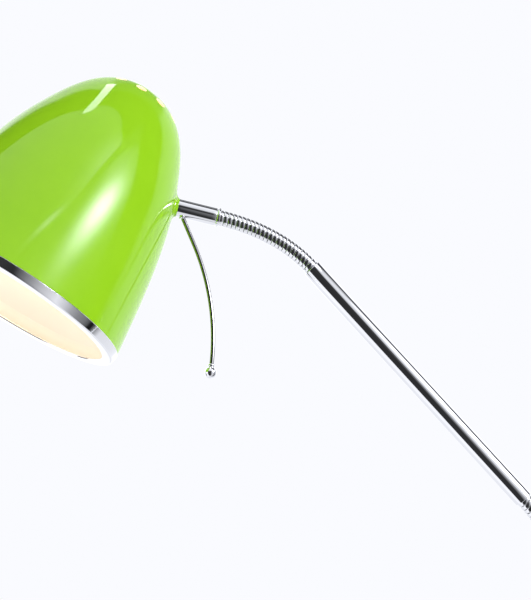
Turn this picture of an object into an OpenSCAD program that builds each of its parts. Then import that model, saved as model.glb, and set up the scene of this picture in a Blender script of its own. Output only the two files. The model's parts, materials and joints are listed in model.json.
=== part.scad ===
// Adjustable arm floor lamp: weighted round base, two-piece pole, lower gooseneck,
// straight arm, upper gooseneck and a bell shade with a side ferrule and a handle.
// Frame: origin on the underside of the base at the pole's axis, +Z up, head towards -X.

/* [Base] */
// Radius of the chromed base cover
base_r = 118; // [105:1:150]
// Height of the base at the foot of the pole
base_h = 23; // [21:0.5:30]
// Thickness of the foam pad under the base
pad_t = 2; // [1.5:0.5:3]

/* [Pole] */
// Outside diameter of the pole tubes
pole_d = 16; // [15:0.5:20]
// Wall of the pole tubes
pole_wall = 1; // [0.8:0.1:1.2]
// Height of the joint between the two pole tubes
pole_split_z = 606; // [400:1:700]
// Height at which the lower gooseneck leaves its socket
neck_z = 1180; // [900:10:1400]

/* [Goosenecks] */
// Length of each gooseneck between its end fittings
neck_len = 68; // [60:1:90]
// Outside radius of the gooseneck coil
neck_r = 5.1; // [4.8:0.05:5.4]
// Clear radius through the gooseneck for the lead
neck_bore_r = 2.6; // [2.3:0.1:2.8]
// Rest bend at each up-and-down joint of the lower gooseneck, degrees
lower_bend = 10.85; // [0:0.05:17]
// Rest bend at each up-and-down joint of the upper gooseneck, degrees
upper_bend = 9; // [0:0.05:17]

/* [Arm] */
// Length of the straight arm tube
arm_len = 197; // [150:1:300]
// Outside diameter of the arm tube
arm_d = 12; // [11.6:0.1:14]

/* [Head] */
// Length of the chromed ferrule between the upper gooseneck and the shade
ferrule_len = 28; // [26:0.5:34]
// Outside radius of the ferrule
ferrule_r = 5.65; // [5.5:0.05:6]
// Slope of the shade's axis above the horizontal, degrees
shade_tilt = 60.7; // [56:0.1:65]
// Wall of the shade
shade_wall = 0.9; // [0.8:0.1:1.2]
// Number of vent holes around the crown of the shade
vents = 12; // [6:1:12]
// Radius of each vent hole
vent_r = 3.5; // [2.5:0.1:3.8]
// Radius of the ball on the handle
ball_r = 3.7; // [3:0.1:5]
// Radius of the handle's rod
rod_r = 1.4; // [1.2:0.1:1.8]

/* [Hidden] */
$fn = 64;

chrome = [0.82, 0.83, 0.85];
steel = [0.62, 0.63, 0.65];
brass = [0.78, 0.62, 0.30];
dark = [0.12, 0.12, 0.13];
lime = [0.62, 0.88, 0.16];
eps = 0.05;                       // running gap between faces that slide on each other

pole_r = pole_d / 2;
pole_in = pole_r - pole_wall;
arm_r = arm_d / 2;
arm_in = arm_r - 1;
lead_r = 2.2;

// Gooseneck: eight joints, every other one turning up and down, the rest sideways
links = 8;
pitch = neck_len / links;
cup_r = neck_r + 0.6;             // radius of the ball faces between neighbouring links
function u(a) = [cos(a), 0, sin(a)];
function seg_dir(a0, bend, i) = a0 + bend * (floor(i / 2) + 1);
function joint_at(s, a0, bend, i) = i == 0 ? s + pitch / 2 * u(a0)
    : joint_at(s, a0, bend, i - 1) + pitch * u(seg_dir(a0, bend, i - 1));
function neck_end(s, a0, bend) = joint_at(s, a0, bend, links - 1) + pitch / 2 * u(a0 + bend * links / 2);

s_low = [0, 0, neck_z];
arm_a = 90 + lower_bend * links / 2;
arm_p = neck_end(s_low, 90, lower_bend);
s_up = arm_p + arm_len * u(arm_a);
fer_a = arm_a + upper_bend * links / 2;
fer_p = neck_end(s_up, arm_a, upper_bend);
boss_p = fer_p + ferrule_len * u(fer_a);

// Place a piece so that its own +Z runs along direction a in the XZ plane
module along(p, a) { translate(p) rotate([0, 90 - a, 0]) children(); }

// Shade: where the ferrule meets it, in the shade's own radius and height
boss_r = 55.05;
boss_t = 105.8;
shade_p = boss_p - boss_r * u(shade_tilt - 90) - boss_t * u(shade_tilt);
module in_shade() { along(shade_p, shade_tilt) children(); }
module in_ferrule() { along(fer_p, fer_a) children(); }

function arc(c, r, a0, a1, n) = [for (i = [0 : n]) [c[0] + r * cos(a0 + (a1 - a0) * i / n), c[1] + r * sin(a0 + (a1 - a0) * i / n)]];
function bez(p, v) = p[0] * pow(1 - v, 3) + p[1] * 3 * v * pow(1 - v, 2) + p[2] * 3 * v * v * (1 - v) + p[3] * pow(v, 3);
function bez_d(p, v) = (p[1] - p[0]) * 3 * pow(1 - v, 2) + (p[2] - p[1]) * 6 * v * (1 - v) + (p[3] - p[2]) * 3 * v * v;
// The shade's side and crown, as two smooth curves of radius and height above the rim
side_c = [[72.9, 5.4], [68.7, 40.3], [63.8, 80], [51.8, 110]];
crown_c = [[51.8, 110], [41.4, 136], [30.7, 160], [0, 160]];
function inward(p, v, w) = let (d = bez_d(p, v), l = norm(d)) bez(p, v) + w * [-d[1], d[0]] / l;
side_n = 12;
crown_n = 14;
shade_out = concat([for (i = [0 : side_n]) bez(side_c, i / side_n)], [for (i = [1 : crown_n]) bez(crown_c, i / crown_n)]);
shade_in = concat([for (i = [0 : side_n]) inward(side_c, i / side_n, shade_wall)],
    [for (i = [1 : crown_n - 1]) inward(crown_c, i / crown_n, shade_wall)], [[0, 160 - shade_wall]]);

module ring(r0, r1, z0, z1) {
    rotate_extrude() translate([r0, z0]) square([r1 - r0, z1 - z0]);
}
module hex_nut(r, bore, z0, z1) {
    difference() {
        translate([0, 0, z0]) cylinder(r = r, h = z1 - z0, $fn = 6);
        translate([0, 0, z0 - 1]) cylinder(r = bore, h = z1 - z0 + 2);
    }
}

// ---------- base ----------
module base_pad() {
    color(dark) cylinder(r = base_r - 5, h = pad_t);
}
module base_plate() {
    color(steel) difference() {
        translate([0, 0, pad_t]) cylinder(r = base_r - 4, h = 1.2);
        for (k = [0 : 2]) rotate([0, 0, 120 * k + 60]) translate([80, 0, pad_t - 0.1]) {
            cylinder(r = 2.2, h = 2);
            cylinder(r1 = 4.35, r2 = 2.2, h = 1.25);
        }
    }
}
module base_screws() {
    color(steel) for (k = [0 : 2]) rotate([0, 0, 120 * k + 60]) translate([80, 0, pad_t]) {
        difference() {
            union() {
                cylinder(r1 = 4, r2 = 2, h = 1.15);
                cylinder(r = 2, h = 10);
            }
            for (q = [0, 90]) rotate([0, 0, q]) translate([-2, -0.35, -1]) cube([4, 0.7, 1.7]);
        }
    }
}
module base_weight() {
    w0 = pad_t + 1.2;
    color([0.2, 0.2, 0.21]) difference() {
        rotate_extrude() polygon([[5.2, w0], [base_r - 3, w0], [base_r - 3, base_h - 11],
            [base_r - 9, base_h - 4.4], [22, base_h - 1.1], [5.2, base_h - 1.1]]);
        translate([0, 0, w0 - 1]) cylinder(r = 13, h = 17 - w0 + 1);
        translate([8, -5.1, w0 - 1]) cube([base_r, 10.2, 10]);
        for (k = [0 : 2]) rotate([0, 0, 120 * k + 60]) translate([80, 0, w0 - 1]) cylinder(r = 2.05, h = 11);
    }
}
module base_cover() {
    w = 0.8;
    color(chrome) difference() {
        rotate_extrude() polygon(concat(
            [[base_r - w, 1.2], [base_r, 1.2], [base_r, base_h - 11]],
            arc([base_r - 8, base_h - 11], 8, 6, 90, 7),
            [[24, base_h], [5.2, base_h], [5.2, base_h - w], [24, base_h - w]],
            arc([base_r - 8, base_h - 11], 8 - w, 90, 6, 7),
            [[base_r - w, base_h - 11]]));
        translate([base_r - 10, 0, 7]) rotate([0, 90, 0]) cylinder(r = 4.05, h = 20);
    }
}
module base_stud() {
    color(steel) ring(3.3, 4.95, 11.3, base_h + 23);
}
module base_washer() {
    color(steel) ring(5.1, 12, 15.8, 17);
}
module base_nut() {
    color(steel) hex_nut(8.1, 5, 11.8, 15.8);
}
module cable_bush() {
    color(dark) translate([0, 0, 7]) rotate([0, 90, 0]) rotate_extrude()
        polygon([[3.3, base_r - 4], [4.9, base_r - 4], [4.9, base_r - 1], [4, base_r - 1],
            [4, base_r + 0.1], [5.2, base_r + 0.1], [5.2, base_r + 1.6], [4.6, base_r + 3], [3.3, base_r + 3]]);
}

// ---------- pole ----------
module pole_foot() {
    z = base_h;
    color(chrome) rotate_extrude() polygon(concat(
        [[5.05, z], [22, z], [22, z + 1.4]],
        arc([22.2, z + 14], 12.6, 268, 182, 9),
        [[pole_r + 1.4, z + 17], [pole_r + 0.8, z + 17.8], [pole_r + eps, z + 17.8], [pole_r + eps, z + 3], [5.05, z + 3]]));
}
module pole_bottom_bush() {
    color(brass) ring(5, pole_in - eps, base_h + 3, base_h + 27);
}
module pole_lower() {
    color(chrome) ring(pole_in, pole_r, base_h + 3, pole_split_z);
}
module pole_coupler() {
    color(steel) ring(4, pole_in - eps, pole_split_z - 30, pole_split_z + 36);
}
module pole_joint_ring() {
    z = pole_split_z;
    color(chrome) rotate_extrude() polygon([[pole_in, z], [pole_r + 0.4, z], [pole_r + 1.1, z + 0.7],
        [pole_r + 1.1, z + 5.3], [pole_r + 0.4, z + 6], [pole_in, z + 6]]);
}
module pole_upper() {
    color(chrome) ring(pole_in, pole_r, pole_split_z + 6, neck_z - 12);
}
// Fixed end of a gooseneck: a ball face round its first joint, at height pitch/2
module ball_end(z0) {
    intersection() {
        translate([0, 0, z0]) cylinder(r = neck_r, h = pitch / 2 - z0 + cup_r);
        translate([0, 0, pitch / 2]) union() {
            sphere(r = cup_r);
            translate([0, 0, -50]) cylinder(r = neck_r + 2, h = 50);
        }
    }
}
module neck_socket() {
    color(chrome) along(s_low, 90) difference() {
        union() {
            translate([0, 0, -30]) cylinder(r = pole_in - eps, h = 19);
            rotate_extrude() polygon([[0, -12], [pole_r + 0.6, -12], [pole_r + 0.9, -11.4], [pole_r + 0.9, -8],
                [pole_r + 0.3, -7], [7, -3.2], [6.5, -0.4], [6.2, 0], [0, 0]]);
            ball_end(-1);
        }
        translate([0, 0, -31]) cylinder(r = neck_bore_r, h = 60);
    }
}
module pole_lead() {
    z = 6.2;
    b = 6;
    color(dark) {
        translate([b, 0, z]) rotate([0, 90, 0]) cylinder(r = lead_r, h = base_r - 6 - b);
        translate([b, 0, z + b]) rotate([90, 0, 0]) rotate([0, 0, 180]) rotate_extrude(angle = 90) translate([b, 0]) circle(r = lead_r);
        translate([0, 0, z + b]) cylinder(r = lead_r, h = neck_z - 2 - z - b);
    }
}

// ---------- goosenecks ----------
module neck_link(s, a0, bend, i) {
    color(chrome) along(joint_at(s, a0, bend, i - 1), seg_dir(a0, bend, i - 1)) difference() {
        intersection() {
            cylinder(r = neck_r, h = pitch + cup_r);
            translate([0, 0, pitch]) union() {
                sphere(r = cup_r);
                translate([0, 0, -50]) cylinder(r = neck_r + 2, h = 50);
            }
        }
        sphere(r = cup_r + eps);
        translate([0, 0, -1]) cylinder(r = neck_bore_r, h = pitch + cup_r + 2);
        for (k = [1, 2]) rotate_extrude() translate([neck_r, 2.6 + pitch / 3 * k])
            polygon([[-0.5, 0], [0.6, -0.8], [0.6, 0.8]]);
    }
}
module lower_neck_link(i) { neck_link(s_low, 90, lower_bend, i); }
module upper_neck_link(i) { neck_link(s_up, arm_a, upper_bend, i); }
// Moving end of a gooseneck: a hollow seat round its last joint, then a plug
module seat_end(plug) {
    difference() {
        union() {
            translate([0, 0, -pitch / 2]) cylinder(r = neck_r, h = pitch / 2);
            translate([0, 0, -0.5]) cylinder(r = arm_in - eps, h = plug + 0.5);
        }
        translate([0, 0, -pitch / 2]) sphere(r = cup_r + eps);
        translate([0, 0, -10]) cylinder(r = neck_bore_r, h = plug + 20);
    }
}

// ---------- arm ----------
module arm_lower_bush() {
    color(chrome) along(arm_p, arm_a) seat_end(13);
}
module arm_tube() {
    color(chrome) along(arm_p, arm_a) rotate_extrude() polygon(concat(
        [[arm_in, 0], [arm_in + 0.25, 0]], arc([arm_r - 0.75, 0.75], 0.75, -80, -10, 3),
        arc([arm_r - 0.75, arm_len - 0.75], 0.75, 10, 80, 3), [[arm_in + 0.25, arm_len], [arm_in, arm_len]]));
}
module arm_upper_bush() {
    color(chrome) along(s_up, arm_a) difference() {
        union() {
            translate([0, 0, -13]) cylinder(r = arm_in - eps, h = 13.5);
            ball_end(0);
        }
        translate([0, 0, -14]) cylinder(r = neck_bore_r, h = 40);
    }
}
module arm_lead() {
    color(dark) along(arm_p, arm_a) translate([0, 0, 2.5]) cylinder(r = lead_r, h = arm_len - 5);
}

// ---------- head ----------
module ferrule() {
    L = ferrule_len;
    color(chrome) difference() {
        in_ferrule() rotate_extrude() polygon(concat(
            [[arm_in, 0], [ferrule_r, 0], [ferrule_r + 0.45, 0.5], [ferrule_r + 0.45, 1.7], [ferrule_r, 2.2],
            [ferrule_r, L - 0.3], [ferrule_r - 0.3, L], [4.05, L], [4.05, 14], [neck_bore_r, 14], [neck_bore_r, 11], [arm_in, 11]]));
        along(rod_p, rod_a) cylinder(r = rod_r + 0.02, h = 4);
    }
}
module ferrule_bush() {
    color(steel) in_ferrule() seat_end(10.9);
}
// Handle: a straight rod from the underside of the ferrule, then a long easy bow down to the ball
rod_a = -66.5;
rod_l = 20;
bow_r = 153;
bow_a = 29;
rod_p = fer_p + 23.5 * u(fer_a) - (ferrule_r - 0.75) * u(fer_a - 90);
bow_p = rod_p + rod_l * u(rod_a);
bow_c = bow_p + bow_r * u(rod_a - 90);
ball_a = rod_a - bow_a;
bow_e = bow_c - bow_r * u(ball_a - 90);
ball_p = bow_e + (1.2 + ball_r) * u(ball_a);
module handle_rod() {
    color(chrome) {
        along(rod_p, rod_a) cylinder(r = rod_r, h = rod_l + 0.4);
        translate(bow_c) rotate([90, 0, 0]) rotate([0, 0, ball_a + 90]) rotate_extrude(angle = bow_a) translate([bow_r, 0]) circle(r = rod_r - 0.02);
        along(bow_e - 0.4 * u(ball_a), ball_a) cylinder(r = rod_r, h = 2.8);
    }
}
module handle_ball() {
    color(chrome) along(ball_p, ball_a) difference() {
        union() {
            sphere(r = ball_r);
            rotate_extrude() polygon([[0, -ball_r - 1.6], [rod_r + 0.35, -ball_r - 1.6], [rod_r + 0.75, -ball_r - 1.1],
                [rod_r + 0.75, -ball_r - 0.5], [rod_r + 0.4, -ball_r + 0.2], [rod_r + 0.4, -ball_r + 1], [0, -ball_r + 1]]);
        }
        translate([0, 0, -ball_r - 3]) cylinder(r = rod_r + 0.02, h = 4.25);
    }
}
module boss_cut(r, z0, z1) {
    along(fer_p, fer_a) translate([0, 0, z0]) cylinder(r = r, h = z1 - z0);
}
vent_c = bez(crown_c, 0.61);
module shade() {
    L = ferrule_len;
    color(lime) difference() {
        union() {
            in_shade() rotate_extrude() polygon(concat(
                [[70.2, 1.5], [71.2, 1.5], [71.2, 5.4]], shade_out,
                [for (i = [len(shade_in) - 1 : -1 : 0]) if (shade_in[i][1] > 6.5) shade_in[i]], [[70.2, 6.3]]));
            in_ferrule() rotate_extrude() polygon(concat([[0, L]], [[ferrule_r - 0.1, L]],
                arc([ferrule_r + 4.8, L - 1.2], 4.8, 165, 95, 6), [[ferrule_r + 4.8, L + 4.2], [0, L + 4.2]]));
        }
        boss_cut(4.05, L - 5, L + 12);
        in_shade() for (k = [0 : vents - 1]) rotate([0, 0, 360 / vents * k])
            translate([vent_c[0], 0, vent_c[1]]) rotate([0, 39, 0]) translate([0, 0, -6]) cylinder(r = vent_r, h = 14);
    }
}
module trim_ring() {
    color(chrome) in_shade() rotate_extrude() polygon([[65.5, 0.3], [65.8, 0], [71.4, 0], [72.1, 0.5], [73.3, 4.9],
        [73.1, 5.35], [71.25, 5.35], [71.25, 1.4], [65.5, 1.4]]);
}
module shade_stud() {
    color(steel) in_ferrule() ring(neck_bore_r, 4, 14.2, ferrule_len + 13);
}
module toothed_washer() {
    L = ferrule_len + 4.2;
    color(steel) in_ferrule() difference() {
        translate([0, 0, L]) cylinder(r = 7, h = 0.8);
        translate([0, 0, L - 1]) cylinder(r = 4.2, h = 3);
        for (k = [0 : 11]) rotate([0, 0, 30 * k]) translate([5.6, -0.35, L - 1]) cube([3, 0.7, 3]);
    }
}
// Bent strap that carries the lampholder on the shade's axis, drawn in the shade's own frame
strap_w = 14;
strap_t = 2;
fa = fer_a + 180 - (shade_tilt - 90) - 360;       // ferrule's outward direction, from the shade's +X
function loc(d, s) = [boss_r - d * cos(fa) - s * sin(fa), boss_t - d * sin(fa) + s * cos(fa)];
strap_pts = [loc(6.01, -8), loc(6.01, 11.5), [21, 146.01], [-9, 146.01]];
function seg_n(i) = let (d = strap_pts[i + 1] - strap_pts[i]) [-d[1], d[0]] / norm(d);
function strap_off(i, w) = i == 0 ? strap_pts[0] + w * seg_n(0) : i == 3 ? strap_pts[3] + w * seg_n(2)
    : strap_pts[i] + w * (seg_n(i - 1) + seg_n(i)) / (1 + seg_n(i - 1) * seg_n(i));
module holder_bracket() {
    color(steel) difference() {
        in_shade() translate([0, strap_w / 2, 0]) rotate([90, 0, 0]) linear_extrude(height = strap_w)
            polygon(concat([for (i = [0 : 3]) strap_off(i, strap_t / 2)], [for (i = [3 : -1 : 0]) strap_off(i, -strap_t / 2)]));
        boss_cut(4.1, ferrule_len, ferrule_len + 12);
        in_shade() translate([0, 0, 140]) cylinder(r = 5.05, h = 12);
    }
}
module stud_nut() {
    L = ferrule_len + 7.02;
    color(steel) in_ferrule() hex_nut(6.9, 4.05, L, L + 3.6);
}
module holder_nipple() {
    color(steel) in_shade() ring(3.4, 4.95, 138, 151.5);
}
module holder_nut() {
    color(steel) in_shade() hex_nut(8.1, 5, 147.02, 150);
}
module holder_cap() {
    color(dark) in_shade() difference() {
        rotate_extrude() polygon([[5.05, 145], [9.5, 145], [12.5, 144.3], [17.6, 140.2], [18.5, 138], [18.5, 123.5],
            [17, 123.5], [17, 137.2], [11.6, 142.6], [5.05, 142.6]]);
        lead_to_cap(lead_r + 0.2, 4);
    }
}
module holder_shell() {
    color(dark) in_shade() rotate_extrude() polygon([[14.3, 101], [15.9, 101], [16.4, 101.6], [17.9, 122.6], [17.9, 123.3], [16.8, 123.4], [16.8, 127.8], [14.3, 127.8]]);
}
module holder_insert() {
    color([0.93, 0.92, 0.88]) in_shade() difference() {
        translate([0, 0, 128]) cylinder(r = 16.6, h = 8);
        for (k = [-1, 1]) translate([9 * k, 0, 127]) cylinder(r = 1.6, h = 10);
    }
}
module holder_sleeve() {
    color(brass) in_shade() ring(13.5, 14.2, 104, 127.5);
}
bulb_tip = 127.6;
module bulb_cap() {
    color(steel) in_shade() rotate_extrude() polygon([[0, bulb_tip - 3], [12.2, bulb_tip - 24.4], [13.2, bulb_tip - 24.4],
        [13.2, bulb_tip - 5], [9.5, bulb_tip - 2.6], [4.6, bulb_tip - 1.6], [4.2, bulb_tip], [0, bulb_tip]]);
}
module bulb_glass() {
    c = bulb_tip - 78;
    color([1, 0.97, 0.88]) in_shade() difference() {
        rotate_extrude() polygon(concat([[0, c - 30]], arc([0, c], 30, -84, 30, 12),
            [for (i = [1 : 8]) bez([[30 * cos(30), c + 30 * sin(30)], [20, c + 32], [14.4, c + 40], [13.2, c + 53.4]], i / 8)], [[0, c + 53.4]]));
        rotate_extrude() polygon(concat([[0, c - 29]], arc([0, c], 29, -84, 30, 12),
            [for (i = [1 : 8]) bez([[29 * cos(30), c + 29 * sin(30)], [19, c + 31.6], [13.4, c + 39.6], [12.2, c + 54]], i / 8)], [[0, c + 54]]));
    }
}
// Lead inside the head: out of the stud, round an easy bend and into the side of the lampholder
lead_b = 9;
lead_up = 118;
lead_s = loc(13.3, 0);
lead_c = lead_s + lead_b * [cos(fa + 90), sin(fa + 90)];
lead_e = lead_c + lead_b * [cos(lead_up + 90), sin(lead_up + 90)];
module lead_to_cap(r, more) {
    translate([lead_e[0], 0, lead_e[1]]) rotate([0, 90 - lead_up, 0]) cylinder(r = r, h = 28 + more);
}
module head_lead() {
    color(dark) in_shade() {
        lead_to_cap(lead_r, 0);
        translate([lead_c[0], 0, lead_c[1]]) rotate([90, 0, 0]) rotate([0, 0, lead_up + 90])
            rotate_extrude(angle = fa + 180 - lead_up) translate([lead_b, 0]) circle(r = lead_r - 0.02);
    }
}

base_pad();
base_plate();
base_screws();
base_weight();
base_cover();
base_stud();
base_washer();
base_nut();
cable_bush();
pole_foot();
pole_bottom_bush();
pole_lower();
pole_coupler();
pole_joint_ring();
pole_upper();
neck_socket();
pole_lead();
lower_neck_link(1);  // lower_neck_link_1
lower_neck_link(2);  // lower_neck_link_2
lower_neck_link(3);  // lower_neck_link_3
lower_neck_link(4);  // lower_neck_link_4
lower_neck_link(5);  // lower_neck_link_5
lower_neck_link(6);  // lower_neck_link_6
lower_neck_link(7);  // lower_neck_link_7
arm_lower_bush();
arm_tube();
arm_upper_bush();
arm_lead();
upper_neck_link(1);  // upper_neck_link_1
upper_neck_link(2);  // upper_neck_link_2
upper_neck_link(3);  // upper_neck_link_3
upper_neck_link(4);  // upper_neck_link_4
upper_neck_link(5);  // upper_neck_link_5
upper_neck_link(6);  // upper_neck_link_6
upper_neck_link(7);  // upper_neck_link_7
ferrule();
ferrule_bush();
handle_rod();
handle_ball();
shade();
trim_ring();
shade_stud();
toothed_washer();
holder_bracket();
stud_nut();
holder_nipple();
holder_nut();
holder_cap();
holder_shell();
holder_insert();
holder_sleeve();
bulb_glass();
bulb_cap();
head_lead();
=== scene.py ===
import json
import math

import bmesh
import bpy
import numpy as np
from mathutils import Matrix, Vector


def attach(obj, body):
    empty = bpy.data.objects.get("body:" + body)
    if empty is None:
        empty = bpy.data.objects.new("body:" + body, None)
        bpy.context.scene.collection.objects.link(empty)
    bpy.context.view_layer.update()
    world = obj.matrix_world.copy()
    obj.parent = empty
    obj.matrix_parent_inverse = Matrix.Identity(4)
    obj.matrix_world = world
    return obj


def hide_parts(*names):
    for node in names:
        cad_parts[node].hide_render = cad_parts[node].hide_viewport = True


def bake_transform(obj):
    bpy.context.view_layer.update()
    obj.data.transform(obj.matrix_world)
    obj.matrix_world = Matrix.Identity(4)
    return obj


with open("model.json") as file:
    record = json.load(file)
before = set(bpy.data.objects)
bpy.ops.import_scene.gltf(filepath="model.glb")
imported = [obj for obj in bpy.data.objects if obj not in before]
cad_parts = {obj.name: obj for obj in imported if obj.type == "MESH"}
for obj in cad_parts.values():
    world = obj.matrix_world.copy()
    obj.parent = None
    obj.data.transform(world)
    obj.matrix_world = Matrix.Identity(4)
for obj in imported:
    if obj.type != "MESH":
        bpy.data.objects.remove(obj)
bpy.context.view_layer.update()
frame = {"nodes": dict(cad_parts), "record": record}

RECORD = frame["record"]
K = 0.001
rng = np.random.default_rng(7)

# ------------------------------------------------------------------ dimensions, mm
BASE_R, BASE_H = 118.0, 23.0
POLE_R, POLE_IN = 8.0, 7.0
SPLIT_Z, NECK_Z = 606.0, 1180.0
NECK_LEN, LINKS, NECK_R = 68.0, 8, 5.1
PITCH = NECK_LEN / LINKS
LOWER_BEND, UPPER_BEND = 10.85, 9.0
ARM_LEN, ARM_R = 197.0, 6.0
FER_LEN, FER_R = 28.0, 5.65
TILT, WALL = 60.7, 0.9
VENTS, VENT_R = 12, 3.5
BALL_R, ROD_R = 3.7, 1.4
BOSS_R, BOSS_T = 55.05, 105.8


def u(a):
    a = math.radians(a)
    return np.array([math.cos(a), 0.0, math.sin(a)])


def neck_points(s, a0, bend):
    """The rest chain: joint centres, then the moving end."""
    p = s + PITCH / 2 * u(a0)
    joints = [p]
    for i in range(LINKS - 1):
        p = p + PITCH * u(a0 + bend * (i // 2 + 1))
        joints.append(p)
    return joints, p + PITCH / 2 * u(a0 + bend * LINKS / 2)


S_LOW = np.array([0, 0, NECK_Z])
ARM_A = 90 + LOWER_BEND * LINKS / 2
LOW_J, ARM_P = neck_points(S_LOW, 90, LOWER_BEND)
S_UP = ARM_P + ARM_LEN * u(ARM_A)
FER_A = ARM_A + UPPER_BEND * LINKS / 2
UP_J, FER_P = neck_points(S_UP, ARM_A, UPPER_BEND)
BOSS_P = FER_P + FER_LEN * u(FER_A)
SHADE_P = BOSS_P - BOSS_R * u(TILT - 90) - BOSS_T * u(TILT)


def along(p, a):
    """4x4 that takes local +Z to direction a in the XZ plane, in mm."""
    b = math.radians(90 - a)
    m = np.eye(4)
    m[:3, :3] = [[math.cos(b), 0, math.sin(b)], [0, 1, 0], [-math.sin(b), 0, math.cos(b)]]
    m[:3, 3] = p
    return m


IN_SHADE = along(SHADE_P, TILT)
IN_FER = along(FER_P, FER_A)
IN_ARM = along(ARM_P, ARM_A)
UPRIGHT = along([0, 0, 0], 90)


def moved(co, m):
    return co @ m[:3, :3].T + m[:3, 3]


# ------------------------------------------------------------------ meshes
def make(name, co, faces, sharp=38):
    """A mesh object from points in mm, smooth with sharp creases over an angle."""
    me = bpy.data.meshes.new(name)
    me.from_pydata((np.asarray(co, float) * K).tolist(), [], [list(map(int, f)) for f in faces])
    me.validate()
    bm = bmesh.new()
    bm.from_mesh(me)
    bmesh.ops.recalc_face_normals(bm, faces=bm.faces)
    bm.to_mesh(me)
    bm.free()
    me.polygons.foreach_set("use_smooth", [True] * len(me.polygons))
    me.set_sharp_from_angle(angle=math.radians(sharp))
    o = bpy.data.objects.new(name, me)
    bpy.context.scene.collection.objects.link(o)
    return o


def rounded(pts, n=5):
    """A polygon's corners (r, z[, radius]) turned into small arcs."""
    out, m = [], len(pts)
    for i, p in enumerate(pts):
        q = np.array(p[:2], float)
        rad = p[2] if len(p) > 2 else 0
        if rad <= 0:
            out.append(q)
            continue
        a, b = np.array(pts[i - 1][:2], float) - q, np.array(pts[(i + 1) % m][:2], float) - q
        la, lb = np.linalg.norm(a), np.linalg.norm(b)
        a, b = a / la, b / lb
        half = math.acos(max(-1, min(1, float(a @ b)))) / 2
        if half > math.radians(88):
            out.append(q)
            continue
        d = min(rad / math.tan(half), 0.48 * la, 0.48 * lb)
        r = d * math.tan(half)
        c = q + (a + b) / np.linalg.norm(a + b) * (r / math.sin(half))
        s, e = q + a * d - c, q + b * d - c
        a0, a1 = math.atan2(s[1], s[0]), math.atan2(e[1], e[0])
        da = (a1 - a0 + math.pi) % (2 * math.pi) - math.pi
        for k in range(n + 1):
            t = a0 + da * k / n
            out.append(c + r * np.array([math.cos(t), math.sin(t)]))
    return out


def arc(c, r, a0, a1, n):
    return [(c[0] + r * math.cos(math.radians(a0 + (a1 - a0) * i / n)), c[1] + r * math.sin(math.radians(a0 + (a1 - a0) * i / n))) for i in range(n + 1)]


def split_long(pts, most, closed=True):
    """Adds points so that no straight run of the outline is longer than most."""
    out, m = [], len(pts)
    for i in range(m):
        a, b = np.array(pts[i][:2], float), np.array(pts[(i + 1) % m][:2], float)
        out.append(a)
        if i == m - 1 and not closed:
            break
        k = int(np.linalg.norm(b - a) // most)
        for j in range(1, k + 1):
            out.append(a + (b - a) * j / (k + 1))
    return out


def lathe_data(prof, n, closed=True, wave=None):
    """Points and faces of an outline (r, z) turned round Z."""
    co, rows = [], []
    for r, z in prof:
        if abs(r) < 1e-6:
            rows.append([len(co)])
            co.append((0, 0, z))
        else:
            rows.append(list(range(len(co), len(co) + n)))
            for k in range(n):
                a = 2 * math.pi * k / n
                rr = r if wave is None else wave(r, z, a)
                co.append((rr * math.cos(a), rr * math.sin(a), z))
    faces = []
    m = len(rows)
    for i in range(m if closed else m - 1):
        a, b = rows[i], rows[(i + 1) % m]
        if len(a) == 1 and len(b) == 1:
            continue
        for k in range(n):
            k2 = (k + 1) % n
            if len(a) == 1:
                faces.append((a[0], b[k2], b[k]))
            elif len(b) == 1:
                faces.append((a[k], a[k2], b[0]))
            else:
                faces.append((a[k], a[k2], b[k2], b[k]))
    return np.array(co, float), faces


def lathe(name, prof, m=UPRIGHT, n=128, closed=True, sharp=38, wave=None):
    co, faces = lathe_data(prof, n, closed, wave)
    return make(name, moved(co, m), faces, sharp)


def sweep(name, path, radii, n=32, sharp=38):
    """A round bar along a path in the XZ plane, closed at both ends."""
    path = np.array(path, float)
    t = np.gradient(path, axis=0)
    t /= np.linalg.norm(t, axis=1)[:, None]
    side = np.array([0.0, 1.0, 0.0])
    co = []
    for p, d, r in zip(path, t, radii):
        up = np.cross(d, side)
        for k in range(n):
            a = 2 * math.pi * k / n
            co.append(p + r * (math.cos(a) * side + math.sin(a) * up))
    m = len(path)
    faces = [(i * n + k, i * n + (k + 1) % n, (i + 1) * n + (k + 1) % n, (i + 1) * n + k) for i in range(m - 1) for k in range(n)]
    faces += [tuple(range(n)), tuple(range((m - 1) * n, m * n))]
    return make(name, np.array(co), faces, sharp)


def rebuilt(node, width, segments=2, angle=28):
    """A copy of a CAD node with its hard edges rounded."""
    me = frame["nodes"][node].data.copy()
    me.name = node + "_fine"
    bm = bmesh.new()
    bm.from_mesh(me)
    bmesh.ops.remove_doubles(bm, verts=bm.verts, dist=2e-6)
    bmesh.ops.dissolve_limit(bm, angle_limit=math.radians(0.6), verts=bm.verts, edges=bm.edges)
    edges = [e for e in bm.edges if len(e.link_faces) == 2 and e.calc_face_angle(0) > math.radians(angle)]
    bmesh.ops.bevel(bm, geom=edges, offset=width * K, offset_type="OFFSET", segments=segments, profile=0.5, clamp_overlap=True, affect="EDGES")
    bm.to_mesh(me)
    bm.free()
    if me.has_custom_normals:
        me.attributes.remove(me.attributes["custom_normal"])
    me.polygons.foreach_set("use_smooth", [True] * len(me.polygons))
    me.set_sharp_from_angle(angle=math.radians(35))
    me.materials.clear()
    o = bpy.data.objects.new(node + "_fine", me)
    bpy.context.scene.collection.objects.link(o)
    return o


def boolean(o, cutter):
    """o minus cutter, as real mesh."""
    mod = o.modifiers.new("cut", "BOOLEAN")
    mod.operation, mod.solver, mod.object = "DIFFERENCE", "EXACT", cutter
    dg = bpy.context.evaluated_depsgraph_get()
    me = bpy.data.meshes.new_from_object(o.evaluated_get(dg))
    o.modifiers.clear()
    o.data = me
    bpy.data.objects.remove(cutter)
    return o


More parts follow.
